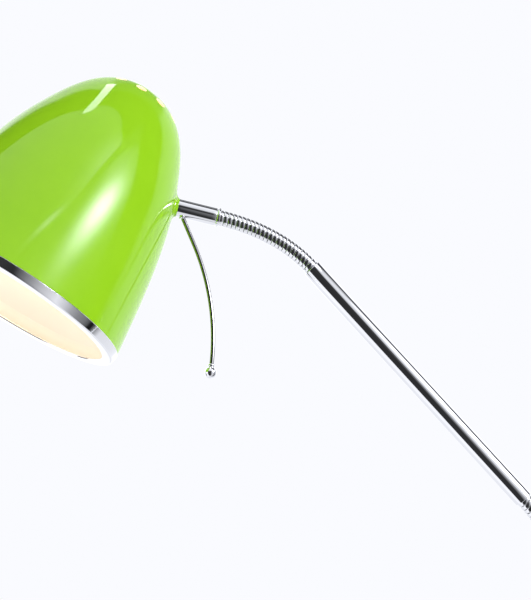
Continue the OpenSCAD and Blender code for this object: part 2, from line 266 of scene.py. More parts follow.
# ------------------------------------------------------------------ materials
class Mat:
    """Small helper for node materials in object coordinates (metres)."""

    def __init__(self, name):
        self.m = bpy.data.materials.new(name)
        self.m.use_nodes = True
        self.t = self.m.node_tree
        self.bsdf = self.t.nodes["Principled BSDF"]
        self.tc = self.t.nodes.new("ShaderNodeTexCoord").outputs["Object"]

    def put(self, a, b):
        self.t.links.new(a, b)
        return self

    def set(self, **kw):
        for k, v in kw.items():
            self.bsdf.inputs[k.replace("_", " ")].default_value = v
        return self

    def mapping(self, scale, rot=(0, 0, 0), loc=(0, 0, 0)):
        n = self.t.nodes.new("ShaderNodeMapping")
        n.inputs["Scale"].default_value = scale
        n.inputs["Rotation"].default_value = rot
        n.inputs["Location"].default_value = loc
        self.put(self.tc, n.inputs["Vector"])
        return n.outputs[0]

    def noise(self, scale, detail=3, rough=0.5, vec=None, dist=0.0):
        n = self.t.nodes.new("ShaderNodeTexNoise")
        n.inputs["Scale"].default_value = scale
        n.inputs["Detail"].default_value = detail
        n.inputs["Roughness"].default_value = rough
        n.inputs["Distortion"].default_value = dist
        self.put(vec or self.tc, n.inputs["Vector"])
        return n.outputs["Fac"]

    def voronoi(self, scale, feature="F1", out="Distance", vec=None):
        n = self.t.nodes.new("ShaderNodeTexVoronoi")
        n.feature = feature
        n.inputs["Scale"].default_value = scale
        self.put(vec or self.tc, n.inputs["Vector"])
        return n.outputs[out]

    def remap(self, v, a, b, c, d, smooth=False):
        n = self.t.nodes.new("ShaderNodeMapRange")
        n.clamp = True
        if smooth:
            n.interpolation_type = "SMOOTHSTEP"
        for i, x in zip(("From Min", "From Max", "To Min", "To Max"), (a, b, c, d)):
            n.inputs[i].default_value = x
        self.put(v, n.inputs["Value"])
        return n.outputs[0]

    def math(self, op, a, b=None):
        n = self.t.nodes.new("ShaderNodeMath")
        n.operation = op
        for i, x in enumerate((a, b)):
            if x is None:
                continue
            if isinstance(x, (int, float)):
                n.inputs[i].default_value = x
            else:
                self.put(x, n.inputs[i])
        return n.outputs[0]

    def mix(self, f, a, b):
        n = self.t.nodes.new("ShaderNodeMix")
        n.data_type = "RGBA"
        self.put(f, n.inputs["Factor"])
        for i, x in (("A", a), ("B", b)):
            s = [q for q in n.inputs if q.name == i and q.type == "RGBA"][0]
            if isinstance(x, tuple):
                s.default_value = (*x, 1) if len(x) == 3 else x
            else:
                self.put(x, s)
        return [q for q in n.outputs if q.type == "RGBA"][0]

    def attribute(self, name):
        n = self.t.nodes.new("ShaderNodeAttribute")
        n.attribute_name = name
        return n.outputs["Fac"]

    def bump(self, h, strength, distance, normal=None):
        n = self.t.nodes.new("ShaderNodeBump")
        n.inputs["Strength"].default_value = strength
        n.inputs["Distance"].default_value = distance
        self.put(h, n.inputs["Height"])
        if normal is not None:
            self.put(normal, n.inputs["Normal"])
        return n.outputs[0]

    def to(self, socket, value):
        self.put(value, self.bsdf.inputs[socket])
        return self


def srgb(r, g, b):
    return tuple((c / 12.92 if c <= 0.04045 else ((c + 0.055) / 1.055) ** 2.4) for c in (r / 255, g / 255, b / 255))


def chrome(name, axis_scale=(700, 700, 18), c0=(0.93, 0.935, 0.95), c1=(0.86, 0.87, 0.89), r0=0.018, r1=0.06, painted_groove_shade=False):
    m = Mat(name)
    cloud, fine = m.noise(11, 4, 0.6), m.noise(420, 3, 0.6)
    lines = m.noise(1.0, 2, 0.6, m.mapping(axis_scale))
    specks = m.remap(m.voronoi(520), 0.0, 0.09, 1.0, 0.0, True)
    col = m.mix(m.remap(cloud, 0.35, 0.7, 0, 1), c0, c1)
    col = m.mix(m.math("MULTIPLY", specks, 0.35), col, (0.62, 0.62, 0.63))
    rough = m.math("ADD", m.remap(cloud, 0.3, 0.72, r0, r1), m.remap(fine, 0.45, 0.8, 0.0, 0.03))
    rough = m.math("ADD", rough, m.math("MULTIPLY", specks, 0.12))
    if painted_groove_shade:
        # painted shade: the colour goes dark in the coil's grooves, following the groove mask; the mask also raises
        # roughness there
        g = m.attribute("groove")
        col = m.mix(g, col, (0.16, 0.16, 0.17))
        rough = m.math("ADD", rough, m.math("MULTIPLY", g, 0.3))
    m.set(Metallic=1.0)
    m.to("Base Color", col).to("Roughness", rough)
    n = m.bump(lines, 0.05, 0.00004)
    m.to("Normal", m.bump(fine, 0.03, 0.00003, n))
    return m.m


def metal(name, c0, c1, r0, r1, scale=60, cell=0, bumpy=0.2):
    m = Mat(name)
    a, b = m.noise(scale, 5, 0.6), m.noise(scale * 9, 3, 0.6)
    f = a
    if cell:
        f = m.math("ADD", m.math("MULTIPLY", a, 0.5), m.math("MULTIPLY", m.voronoi(cell, "F1", "Distance"), 0.6))
    m.to("Base Color", m.mix(m.remap(f, 0.3, 0.75, 0, 1), c0, c1))
    m.to("Roughness", m.remap(m.math("ADD", m.math("MULTIPLY", a, 0.5), m.math("MULTIPLY", b, 0.5)), 0.3, 0.7, r0, r1))
    m.set(Metallic=1.0)
    m.to("Normal", m.bump(b, bumpy, 0.0001))
    return m.m


def dielectric(name, c0, c1, r0, r1, scale=80, grain=900, bumpy=0.25, dist=0.0001, coat=0.0):
    m = Mat(name)
    a, b = m.noise(scale, 4, 0.6), m.noise(grain, 3, 0.6)
    m.to("Base Color", m.mix(m.remap(a, 0.3, 0.7, 0, 1), c0, c1))
    m.to("Roughness", m.remap(b, 0.3, 0.7, r0, r1))
    m.to("Normal", m.bump(b, bumpy, dist))
    if coat:
        m.set(Coat_Weight=coat, Coat_Roughness=0.04)
    return m.m


def lime_paint():
    m = Mat("lime_paint_fine")
    big, mid, peel = m.noise(7, 3, 0.5), m.noise(70, 4, 0.6), m.noise(330, 2, 0.5)
    flake = m.voronoi(5200, "F1", "Color")
    dust = m.remap(m.voronoi(230), 0.0, 0.05, 1.0, 0.0, True)
    col = m.mix(m.remap(big, 0.35, 0.65, 0, 1), srgb(151, 207, 31), srgb(146, 203, 27))
    col = m.mix(m.remap(mid, 0.4, 0.75, 0, 0.35), col, srgb(156, 209, 37))
    sep = m.t.nodes.new("ShaderNodeSeparateColor")
    m.put(flake, sep.inputs[0])
    col = m.mix(m.remap(sep.outputs[0], 0.0, 1.0, 0.0, 0.05), col, srgb(112, 172, 8))
    col = m.mix(m.math("MULTIPLY", dust, 0.25), col, srgb(205, 235, 150))
    m.to("Base Color", col)
    m.to("Roughness", m.math("ADD", m.remap(mid, 0.3, 0.7, 0.16, 0.24), m.math("MULTIPLY", dust, 0.2)))
    m.to("Normal", m.bump(peel, 0.10, 0.00003))
    m.set(Coat_Weight=0.8, Coat_Roughness=0.035, Coat_IOR=1.5, Specular_IOR_Level=0.0)
    return m.m


def enamel_white_painted_glow():
    m = Mat("enamel_white_painted_glow")
    big, mid, peel = m.noise(9, 3, 0.5), m.noise(90, 4, 0.6), m.noise(480, 3, 0.6)
    spot = m.remap(m.voronoi(140), 0.0, 0.05, 1.0, 0.0, True)
    col = m.mix(m.remap(big, 0.35, 0.65, 0, 1), srgb(250, 247, 240), srgb(246, 241, 230))
    col = m.mix(m.math("MULTIPLY", spot, 0.25), col, srgb(225, 214, 190))
    m.to("Base Color", col)
    m.to("Roughness", m.remap(mid, 0.3, 0.7, 0.3, 0.42))
    m.to("Normal", m.bump(peel, 0.15, 0.00005))
    # painted glow: the inside enamel gives off warm light from about 0.1 m out from the bulb's centre, so the crown and
    # the vent holes look lit from within
    d = m.t.nodes.new("ShaderNodeVectorMath")
    d.operation = "DISTANCE"
    d.inputs[1].default_value = tuple((SHADE_P + 49.6 * u(TILT)) * K)
    m.put(m.tc, d.inputs[0])
    m.to("Emission Color", m.mix(m.remap(d.outputs["Value"], 0.093, 0.106, 0, 1, True), (0.0, 0.0, 0.0), (0.80, 0.52, 0.24)))
    m.set(Emission_Strength=0.9)
    return m.m


def opal():
    m = Mat("opal_glass_lit")
    tc = m.tc
    mid, fine = m.noise(45, 3, 0.5), m.noise(600, 2, 0.5)
    m.to("Base Color", m.mix(m.remap(mid, 0.3, 0.7, 0, 1), srgb(255, 250, 240), srgb(250, 243, 228)))
    m.to("Roughness", m.remap(fine, 0.3, 0.7, 0.12, 0.2))
    c = SHADE_P + 49.6 * u(TILT)
    d = m.t.nodes.new("ShaderNodeVectorMath")
    d.operation = "DISTANCE"
    d.inputs[1].default_value = tuple(c * K)
    m.put(tc, d.inputs[0])
    glow = m.mix(m.remap(d.outputs["Value"], 0.026, 0.058, 0, 1, True), (1.0, 0.80, 0.56), (0.35, 0.22, 0.12))
    m.to("Emission Color", m.mix(m.remap(mid, 0.3, 0.7, 0, 0.25), glow, (1.0, 0.86, 0.66)))
    m.set(Emission_Strength=2.2)
    return m.m


def foam():
    m = Mat("foam_pad")
    cells, fine = m.voronoi(900, "F1", "Distance"), m.noise(1600, 3, 0.6)
    m.to("Base Color", m.mix(m.remap(m.noise(40, 4), 0.3, 0.7, 0, 1), (0.016, 0.016, 0.018), (0.035, 0.035, 0.038)))
    m.to("Roughness", m.remap(fine, 0.3, 0.7, 0.8, 0.98))
    m.to("Normal", m.bump(cells, 0.6, 0.0004))
    return m.m


CHROME = chrome("chrome_upright")
CHROME_ARM = chrome("chrome_arm", (700, 700, 700))
CHROME_NECK = chrome("chrome_coil", (500, 500, 500), r0=0.03, r1=0.075, painted_groove_shade=True)
CHROME_BASE = chrome("chrome_base", (420, 420, 420), r0=0.025, r1=0.08)
# a darker copy of the chrome for the handle rod: painted shade for the dark reflections the rod shows
CHROME_ROD = chrome("chrome_handle_painted_dark", (900, 900, 900), (0.38, 0.38, 0.39), (0.31, 0.31, 0.32))
CHROME_RING = chrome("chrome_trim", (300, 300, 300), r0=0.02, r1=0.05)
STEEL = metal("zinc_steel", (0.62, 0.63, 0.65), (0.45, 0.46, 0.49), 0.25, 0.45, 70, 260)
BRASS = metal("brass_fine", (0.82, 0.62, 0.28), (0.60, 0.43, 0.18), 0.2, 0.38, 55)
IRON = metal("cast_iron", (0.10, 0.10, 0.105), (0.05, 0.05, 0.055), 0.55, 0.8, 90, 0, 0.6)
BLACK = dielectric("black_plastic_fine", (0.018, 0.018, 0.02), (0.03, 0.03, 0.032), 0.35, 0.5)
LEAD = dielectric("lead_pvc", (0.55, 0.54, 0.52), (0.66, 0.65, 0.62), 0.35, 0.5, 60, 700)
CERAMIC = dielectric("ceramic_fine", (0.83, 0.81, 0.75), (0.74, 0.71, 0.64), 0.3, 0.5, 120, 1200, 0.3)
FOAM, LIME, WHITE, OPAL = foam(), lime_paint(), enamel_white_painted_glow(), opal()
BY_SLOT = {"chrome": CHROME, "lime_paint": LIME, "steel": STEEL, "brass": BRASS, "cast_weight": IRON, "foam": FOAM,
           "black_plastic": BLACK, "lead_sheath": LEAD, "ceramic": CERAMIC, "opal_glass": OPAL}


def dress(o, mat, body, slot, *nodes):
    o.data.materials.clear()
    o.data.materials.append(mat)
    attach(o, body)
    if nodes:
        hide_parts(*nodes)
    return o


# ------------------------------------------------------------------ base and pole
pad = split_long(rounded([(0, 0.35), (30, 0.35, 0.2), (31, 0, 0.2), (52, 0, 0.2), (53, 0.35, 0.2), (58, 0.35, 0.2), (59, 0, 0.2), (84, 0, 0.2), (85, 0.35, 0.2),
                          (90, 0.35, 0.2), (91, 0, 0.2), (113, 0, 0.7), (113, 2, 0.4), (0, 2)], 4), 9)
dress(lathe("base_pad_fine", pad, n=192), FOAM, "stand", "foam", "base_pad")

w = 0.8
dome = [(110 - 86 * t, 20 + 3 * t + 0.35 * math.sin(math.pi * t)) for t in np.linspace(0, 1, 26)]
cover = ([(117.2, 1.2), (117.35, 1.05), (117.6, 1.0), (117.85, 1.05), (118, 1.25)] + [(118, z) for z in np.linspace(2, 12, 8)] + arc((110, 12), 8, 3, 90, 22)[:-1] + dome
         + [(20, 23.05), (12, 23.0), (5.2, 23.0), (5.2, 22.2), (24, 22.2)] + [(r, z - w) for r, z in reversed(dome[:-1])] + arc((110, 12), 7.2, 90, 3, 16)[1:] + [(117.2, 12), (117.2, 6)])
base = lathe("base_cover_fine", cover, n=256, sharp=50)
cut = lathe("cut", [(0, 108), (4.1, 108), (4.1, 125), (0, 125)], along([0, 0, 7], 0), n=48)
boolean(base, cut)
base.data.polygons.foreach_set("use_smooth", [True] * len(base.data.polygons))
base.data.set_sharp_from_angle(angle=math.radians(50))
dress(base, CHROME_BASE, "stand", "chrome", "base_cover")

bush = rounded([(3.3, 114, 0.3), (4.9, 114, 0.4), (4.9, 117, 0.2), (4.0, 117), (4.0, 118.1), (5.2, 118.1, 0.25), (5.25, 119.4, 0.6), (4.5, 121, 0.7), (3.3, 121, 0.45)], 6)
dress(lathe("cable_bush_fine", split_long(bush, 1.2), along([0, 0, 7], 0), n=72), BLACK, "stand", "black_plastic", "cable_bush")

foot = rounded([(8.1, 26), (5.2, 26), (5.2, 23.05), (21.6, 23.05, 0.25), (22, 23.5, 0.3), (22, 24.4, 0.25)] + arc((22.2, 37), 12.6, 266, 182, 30)
               + [(9.5, 38.4, 0.2), (9.9, 38.8, 0.3), (9.9, 40.1, 0.35), (9.2, 40.8, 0.4), (8.1, 40.8, 0.15)], 5)
dress(lathe("pole_foot_fine", split_long(foot, 3), n=144), CHROME, "stand", "chrome", "pole_foot")


def tube(name, z0, z1, r_in, r_out, soft=0.4):
    prof = rounded([(r_in, z0, soft / 2), (r_out, z0, soft), (r_out, z1, soft), (r_in, z1, soft / 2)], 5)
    return lathe(name, split_long(prof, 22), n=112)


dress(tube("pole_lower_fine", 26, SPLIT_Z, POLE_IN, POLE_R), CHROME, "stand", "chrome", "pole_lower")
dress(tube("pole_upper_fine", SPLIT_Z + 6, NECK_Z - 12, POLE_IN, POLE_R), CHROME, "stand", "chrome", "pole_upper")
z = SPLIT_Z
ring = rounded([(POLE_IN, z + 0.02), (8.4, z + 0.02, 0.15), (9.1, z + 0.7, 0.5), (9.1, z + 1.9, 0.15), (8.75, z + 2.15, 0.12), (8.75, z + 2.45, 0.12), (9.1, z + 2.7, 0.15), (9.1, z + 3.3, 0.15),
                (8.75, z + 3.55, 0.12), (8.75, z + 3.85, 0.12), (9.1, z + 4.1, 0.15), (9.1, z + 5.3, 0.5), (8.4, z + 5.98, 0.15), (POLE_IN, z + 5.98)], 4)
dress(lathe("pole_joint_ring_fine", ring, n=128), CHROME, "stand", "chrome", "pole_joint_ring")

z = NECK_Z
socket = rounded([(4.6, z - 12), (8.55, z - 12, 0.2), (8.9, z - 11.4, 0.3), (8.9, z - 8, 0.6), (8.2, z - 6.8, 0.8), (7.05, z - 3.2, 1.6), (6.9, z - 2.2, 0.3), (6.55, z - 1.95, 0.2),
                  (6.55, z - 1.5, 0.15), (6.75, z - 1.2, 0.4), (6.75, z - 0.4, 0.4), (6.2, z, 0.35), (5.2, z, 0.3), (5.05, z - 5), (4.6, z - 5)], 6)
dress(lathe("neck_socket_fine", socket, n=112), CHROME, "stand", "chrome", "neck_socket")

# ------------------------------------------------------------------ arm and ferrule
L = ARM_LEN
prof = rounded([(5.12, 0.0, 0.25), (6, 0.0, 0.62), (6, 8), (6, L - 8), (6, L, 0.62), (5.12, L, 0.25)], 8)
dress(lathe("arm_tube_fine", split_long(prof, 9), IN_ARM, n=112), CHROME_ARM, "arm", "chrome", "arm_tube")

L = FER_LEN
prof = rounded([(5.12, 0.05, 0.25), (5.75, 0.05, 0.3), (6.1, 0.55, 0.4), (6.1, 1.75, 0.4), (5.7, 2.15, 0.2), (5.35, 2.25, 0.12), (5.35, 2.55, 0.12), (5.65, 2.8, 0.5), (5.65, L - 0.25, 0.2), (5.4, L, 0.12),
                (4.05, L), (4.05, 14), (5.12, 11)], 6)
dress(lathe("ferrule_fine", split_long(prof, 2.5), IN_FER, n=112), CHROME_ARM, "head", "chrome", "ferrule")

# ------------------------------------------------------------------ handle
ROD_A, ROD_L, BOW_R, BOW_A = -66.5, 20.0, 153.0, 29.0
ROD_P = FER_P + 23.5 * u(FER_A) - (FER_R - 0.75) * u(FER_A - 90)
BOW_P = ROD_P + ROD_L * u(ROD_A)
BOW_C = BOW_P + BOW_R * u(ROD_A - 90)
BALL_A = ROD_A - BOW_A
BOW_E = BOW_C - BOW_R * u(BALL_A - 90)
BALL_P = BOW_E + (1.2 + BALL_R) * u(BALL_A)
path = [ROD_P + t * u(ROD_A) for t in np.linspace(0, ROD_L, 10)]
path += [BOW_C - BOW_R * u(ROD_A - 90 - a) for a in np.linspace(0, BOW_A, 60)[1:]]
path += [BOW_E + t * u(BALL_A) for t in (0.8, 1.6, 2.4)]
rod = sweep("handle_rod_fine", path, [ROD_R] * len(path), 36)
dress(rod, CHROME_ROD, "head", "chrome", "handle_rod")
prof = rounded([(0, -5.3), (1.45, -5.3, 0.1), (1.75, -5.3, 0.15), (2.15, -4.9, 0.3), (2.15, -4.2, 0.3), (1.85, -3.75, 0.2)], 5) + arc((0, 0), BALL_R, -58, 89.9, 40)[0:] + [(0, BALL_R)]
dress(lathe("handle_ball_fine", prof, along(BALL_P, BALL_A), n=72), CHROME_BASE, "head", "chrome", "handle_ball")
prof = rounded([(1.3, -0.9), (2.5, -0.9, 0.1), (2.35, -0.2, 0.3), (1.75, 0.15, 0.3), (1.42, 0.75, 0.1), (1.3, 0.75)], 5)
weld = lathe("handle_weld", prof, along(ROD_P + 1.25 * u(ROD_A), ROD_A), n=48)
dress(weld, CHROME_ARM, "head", "chrome")

# ------------------------------------------------------------------ shade
SIDE = np.array([[72.9, 5.4], [68.7, 40.3], [63.8, 80], [51.8, 110]])
CROWN = np.array([[51.8, 110], [41.4, 136], [30.7, 160], [0, 160]])


def bez(p, v):
    v = np.asarray(v, float)[..., None]
    return p[0] * (1 - v) ** 3 + p[1] * 3 * v * (1 - v) ** 2 + p[2] * 3 * v * v * (1 - v) + p[3] * v ** 3


def bez_d(p, v):
    v = np.asarray(v, float)[..., None]
    return (p[1] - p[0]) * 3 * (1 - v) ** 2 + (p[2] - p[1]) * 6 * v * (1 - v) + (p[3] - p[2]) * 3 * v * v


v1, v2 = np.linspace(0, 1, 44), np.linspace(0, 1, 40)
OUT = np.vstack([bez(SIDE, v1), bez(CROWN, v2[1:])])
DER = np.vstack([bez_d(SIDE, v1), bez_d(CROWN, v2[1:])])
DER[-1] = [-1, 0]
NRM = np.stack([DER[:, 1], -DER[:, 0]], 1)
NRM /= np.linalg.norm(NRM, axis=1)[:, None]
INN = OUT - WALL * NRM
INN[-1] = [0, 160 - WALL]
OUT[-1] = [0, 160]


def shade_normal(p):
    """Outward normal of the shade's outer skin at points in the shade's frame (r from the axis, t up)."""
    r = np.hypot(p[:, 0], p[:, 1])
    t = np.clip(p[:, 2], OUT[0, 1], 160)
    n = np.stack([np.interp(t, OUT[:, 1], NRM[:, 0]), np.interp(t, OUT[:, 1], NRM[:, 1])], 1)
    near = t > 157.5
    if near.any():
        rr = np.clip(r[near], 0, 30)
        order = OUT[::-1]
        nn = NRM[::-1]
        n[near] = np.stack([np.interp(rr, order[:, 0], nn[:, 0]), np.interp(rr, order[:, 0], nn[:, 1])], 1)
    n /= np.linalg.norm(n, axis=1)[:, None]
    s = np.where(r > 1e-6, r, 1)
    return np.stack([n[:, 0] * p[:, 0] / s, n[:, 0] * p[:, 1] / s, n[:, 1]], 1)


SEG = 224
bottom = [(71.9, 5.38), (71.3, 5.3), (71.2, 5.0), (71.2, 1.8), (71.0, 1.5), (70.4, 1.5), (70.2, 1.7), (70.2, 4.5), (70.6, 6.6)]
outline = [tuple(p) for p in OUT] + [tuple(p) for p in INN[::-1] if p[1] > 8] + [tuple(p) for p in bottom[::-1]]
co, faces = lathe_data(outline, SEG)
me = bpy.data.meshes.new("shade_raw")
me.from_pydata((co * K).tolist(), [], [list(f) for f in faces])
bm = bmesh.new()
bm.from_mesh(me)
bmesh.ops.remove_doubles(bm, verts=bm.verts, dist=1e-7)
bmesh.ops.recalc_face_normals(bm, faces=bm.faces)
bm.to_mesh(me)
bm.free()
shade = bpy.data.objects.new("shade_fine", me)
bpy.context.scene.collection.objects.link(shade)
vc = bez(CROWN, 0.61)
cuts_co, cuts_f = [], []
for k in range(VENTS):
    c, f = lathe_data([(0, -6), (VENT_R, -6), (VENT_R, 8), (0, 8)], 56)
    b = math.radians(39)
    r1 = np.array([[math.cos(b), 0, math.sin(b)], [0, 1, 0], [-math.sin(b), 0, math.cos(b)]])
    a = 2 * math.pi * k / VENTS
    r2 = np.array([[math.cos(a), -math.sin(a), 0], [math.sin(a), math.cos(a), 0], [0, 0, 1]])
    c = (c @ r1.T + [vc[0], 0, vc[1]]) @ r2.T
    cuts_f += [tuple(i + len(cuts_co) * len(c) for i in q) for q in f]
    cuts_co.append(c)
cm = bpy.data.meshes.new("cuts")
cm.from_pydata((np.vstack(cuts_co) * K).tolist(), [], [list(f) for f in cuts_f])
bm = bmesh.new()
bm.from_mesh(cm)
bmesh.ops.recalc_face_normals(bm, faces=bm.faces)
bm.to_mesh(cm)
bm.free()
cutter = bpy.data.objects.new("cuts", cm)
bpy.context.scene.collection.objects.link(cutter)
boolean(shade, cutter)
me = shade.data
n_loops = len(me.loops)
vi = np.zeros(n_loops, int)
me.loops.foreach_get("vertex_index", vi)
pts = np.zeros(len(me.vertices) * 3)
me.vertices.foreach_get("co", pts)
pts = pts.reshape(-1, 3) / K
rad = np.hypot(pts[:, 0], pts[:, 1])


def off_skin(line):
    """Distance of each point from a profile line."""
    best = np.full(len(pts), 1e9)
    q = np.stack([rad, pts[:, 2]], 1)
    for a, b in zip(line[:-1], line[1:]):
        d = b - a
        s = np.clip(((q - a) @ d) / max(d @ d, 1e-12), 0, 1)
        best = np.minimum(best, np.linalg.norm(q - a - s[:, None] * d, axis=1))
    return best


on_out, on_in = off_skin(OUT) < 0.02, off_skin(INN[INN[:, 1] > 7.9]) < 0.02
poly_loops = [list(p.loop_indices) for p in me.polygons]
normals = np.zeros((n_loops, 3))
cn = np.zeros(n_loops * 3)
me.polygons.foreach_set("use_smooth", [True] * len(me.polygons))
me.set_sharp_from_angle(angle=math.radians(30))
normals = np.array([list(c.vector) for c in me.corner_normals])
skin = shade_normal(pts)
mat_i = []
for p, ls in zip(me.polygons, poly_loops):
    ids = vi[ls]
    pn = np.array(p.normal)
    if on_out[ids].all() and (pn @ skin[ids[0]]) > 0.7:
        normals[ls] = skin[ids]
        mat_i.append(0)
    elif on_in[ids].all() and (pn @ skin[ids[0]]) < -0.7:
        normals[ls] = -skin[ids]
        mat_i.append(1)
    else:
        mat_i.append(1)
me.normals_split_custom_set(normals.tolist())
me.materials.clear()
me.materials.append(LIME)
me.materials.append(WHITE)
me.polygons.foreach_set("material_index", mat_i)
me.transform(Matrix([[*(IN_SHADE[i, :3]), IN_SHADE[i, 3] * K] for i in range(3)] + [[0, 0, 0, 1]]))
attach(shade, "head")
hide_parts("shade")

# the flared boss: from the ferrule's end out on to the shade's skin, tangent to both
TO_SHADE = np.linalg.inv(IN_SHADE) @ IN_FER


def skin_z(x, y):
    """Height along the ferrule's axis at which its point (x, y) meets the shade's skin."""
    lo, hi = FER_LEN - 4.0, FER_LEN + 9.0
    for _ in range(46):
        mid = (lo + hi) / 2
        q = TO_SHADE[:3, :3] @ [x, y, mid] + TO_SHADE[:3, 3]
        out = math.hypot(q[0], q[1]) > np.interp(q[2], OUT[:, 1], OUT[:, 0])
        lo, hi = (mid, hi) if out else (lo, mid)
    return (lo + hi) / 2


NF, NS, R_OUT = 120, 22, 11.6
P, D = [], []
for k in range(NF):
    a = 2 * math.pi * k / NF
    d = np.array([math.cos(a), math.sin(a)])
    z1, z2 = skin_z(*(d * R_OUT)), skin_z(*(d * (R_OUT + 0.3)))
    p0, p1 = np.array([5.70, FER_LEN - 0.7]), np.array([R_OUT, z1 - 0.03])
    t1 = np.array([0.3, z2 - z1])
    t1 = t1 / np.linalg.norm(t1)
    gap = np.linalg.norm(p1 - p0)
    m0, m1 = np.array([0.4, 1.0]) * gap * 0.9, t1 * gap * 1.2
    for s in np.linspace(0, 1, NS + 1):
        h = (2 * s ** 3 - 3 * s ** 2 + 1) * p0 + (s ** 3 - 2 * s ** 2 + s) * m0 + (-2 * s ** 3 + 3 * s ** 2) * p1 + (s ** 3 - s ** 2) * m1
        P.append((h[0] * d[0], h[0] * d[1], h[1]))
faces = [(k * (NS + 1) + s, ((k + 1) % NF) * (NS + 1) + s, ((k + 1) % NF) * (NS + 1) + s + 1, k * (NS + 1) + s + 1) for k in range(NF) for s in range(NS)]
me = bpy.data.meshes.new("shade_boss")
me.from_pydata((moved(np.array(P), IN_FER) * K).tolist(), [], [list(f) for f in faces])
me.polygons.foreach_set("use_smooth", [True] * len(me.polygons))
boss = bpy.data.objects.new("shade_boss", me)
bpy.context.scene.collection.objects.link(boss)
back = np.array(me.polygons[NS // 2].normal) @ u(FER_A)
if back > 0:
    me.flip_normals()
auto = np.array([list(c.vector) for c in me.corner_normals])
vi = np.zeros(len(me.loops), int)
me.loops.foreach_get("vertex_index", vi)
local = moved(np.array(P), TO_SHADE)
sn = shade_normal(local) @ IN_SHADE[:3, :3].T
edge = (vi % (NS + 1)) >= NS
auto[edge] = sn[vi[edge]]
me.normals_split_custom_set(auto.tolist())
dress(boss, LIME, "head", "lime_paint")

trim = rounded([(65.5, 0.45, 0.2), (65.7, 0.0, 0.3), (71.3, 0.0, 0.45), (72.1, 0.45, 0.5), (73.1, 5.12, 0.12), (73.0, 5.3, 0.05), (71.25, 5.3), (71.25, 1.35), (65.5, 1.35, 0.2)], 6)
dress(lathe("trim_ring_fine", split_long(trim, 1.2), IN_SHADE, n=256), CHROME_RING, "head", "chrome", "trim_ring")

# ------------------------------------------------------------------ lamp parts inside the shade
c = 49.6
glass = [(0, c - 30)] + arc((0, c), 30, -86, 30, 60)
neck = bez(np.array([[30 * math.cos(math.radians(30)), c + 15], [20, c + 32], [14.4, c + 40], [13.2, c + 53.4]]), np.linspace(0, 1, 26)[1:])
glass += [tuple(p) for p in neck] + [(12.4, c + 53.4), (0, c + 53.4)]
dress(lathe("bulb_glass_fine", glass, IN_SHADE, n=96), OPAL, "head", "opal_glass", "bulb_glass")


def ribbed(r, z, a):
    """Twenty-four soft grip ribs on the outside of the lampholder."""
    if r < 16.2 or not (102.5 < z < 121.5 or 125.5 < z < 137.5):
        return r
    return r - 0.32 * (0.5 - 0.5 * math.cos(24 * a)) ** 3


shell = split_long(rounded([(14.3, 101, 0.2), (15.9, 101, 0.4), (16.4, 101.8, 0.4), (17.9, 122.6, 0.4), (17.9, 123.3, 0.2), (16.8, 123.45), (16.8, 127.8), (14.3, 127.8)], 4), 1.6)
dress(lathe("holder_shell_fine", shell, IN_SHADE, n=192, wave=ribbed), BLACK, "head", "black_plastic", "holder_shell")
hcap = split_long(rounded([(5.05, 145, 0.2), (9.5, 145, 1.0), (12.5, 144.3, 1.5), (17.6, 140.2, 1.2), (18.5, 138, 0.8), (18.5, 123.6, 0.4), (17, 123.6, 0.2), (17, 137.2), (11.6, 142.6), (5.05, 142.6)], 5), 1.6)
dress(lathe("holder_cap_fine", hcap, IN_SHADE, n=192, wave=ribbed), BLACK, "head", "black_plastic", "holder_cap")


def thread(r, z, a):
    """Rounded lamp-cap thread."""
    if r < 12.9 or not 105 < z < 121:
        return r
    return r - 0.35 + 0.35 * math.cos(2 * math.pi * (z / 3.6) - a)


tip = 127.6
bcap = [(0, tip - 24)] + [(13.2, z) for z in np.linspace(tip - 24.4, tip - 5.4, 64)] + [(12.4, tip - 4.2), (9.6, tip - 2.7), (6, tip - 2.0), (4.6, tip - 1.6), (4.4, tip - 0.5), (3.2, tip - 0.1), (0, tip)]
dress(lathe("bulb_cap_fine", bcap, IN_SHADE, n=96, wave=thread), STEEL, "head", "steel", "bulb_cap")

for node, width, slot_name, body in (("holder_bracket", 0.35, "steel", "head"), ("stud_nut", 0.35, "steel", "head"), ("holder_nut", 0.35, "steel", "head"),
                                     ("toothed_washer", 0.12, "steel", "head"), ("holder_insert", 0.4, "ceramic", "head"), ("holder_sleeve", 0.15, "brass", "head"),
                                     ("base_nut", 0.4, "steel", "stand"), ("base_washer", 0.25, "steel", "stand"), ("base_plate", 0.2, "steel", "stand")):
    dress(rebuilt(node, width), BY_SLOT[slot_name], body, slot_name, node)

# ------------------------------------------------------------------ goosenecks
TURN = NECK_LEN / 24
ROWS, COLS = 22, 80


def coil_height(x):
    """Drop below the crest, and how deep in the groove, at a distance x from a crest (both in mm)."""
    x = np.abs(x)
    crest = x * x / 13.0
    edge = 1.19
    side = np.clip((x - edge) / (TURN / 2 - edge), 0, 1)
    return crest + 0.60 * side ** 1.3, side


def curve(s0, a0, bend, end):
    """A smooth centre line from s0 to end with the chain's own length and end directions."""
    t = np.linspace(0, 1, 681)
    th = np.radians(a0 + bend * LINKS / 2 * (t + 0.375 * t * (1 - t)))
    d = np.stack([np.cos(th), np.zeros_like(th), np.sin(th)], 1)
    step = NECK_LEN / 680
    p = s0 + np.vstack([np.zeros(3), np.cumsum((d[1:] + d[:-1]) / 2 * step, axis=0)])
    p += (end - p[-1]) * (t ** 2 * (3 - 2 * t))[:, None]
    return t * NECK_LEN, p, th


def on_curve(line, s):
    """Point and direction at distance s, running straight on past both ends."""
    dist, p, th = line
    sc = np.clip(s, 0, NECK_LEN)
    q = np.stack([np.interp(sc, dist, p[:, i]) for i in range(3)], 1)
    a = np.interp(sc, dist, th)
    d = np.stack([np.cos(a), np.zeros_like(a), np.sin(a)], 1)
    return q + (s - sc)[:, None] * d, a


# Pieces whose near and far ends are swapped in gooseneck(); the bend is the same either way.
FROM_FAR_END = {("upper", 3)}


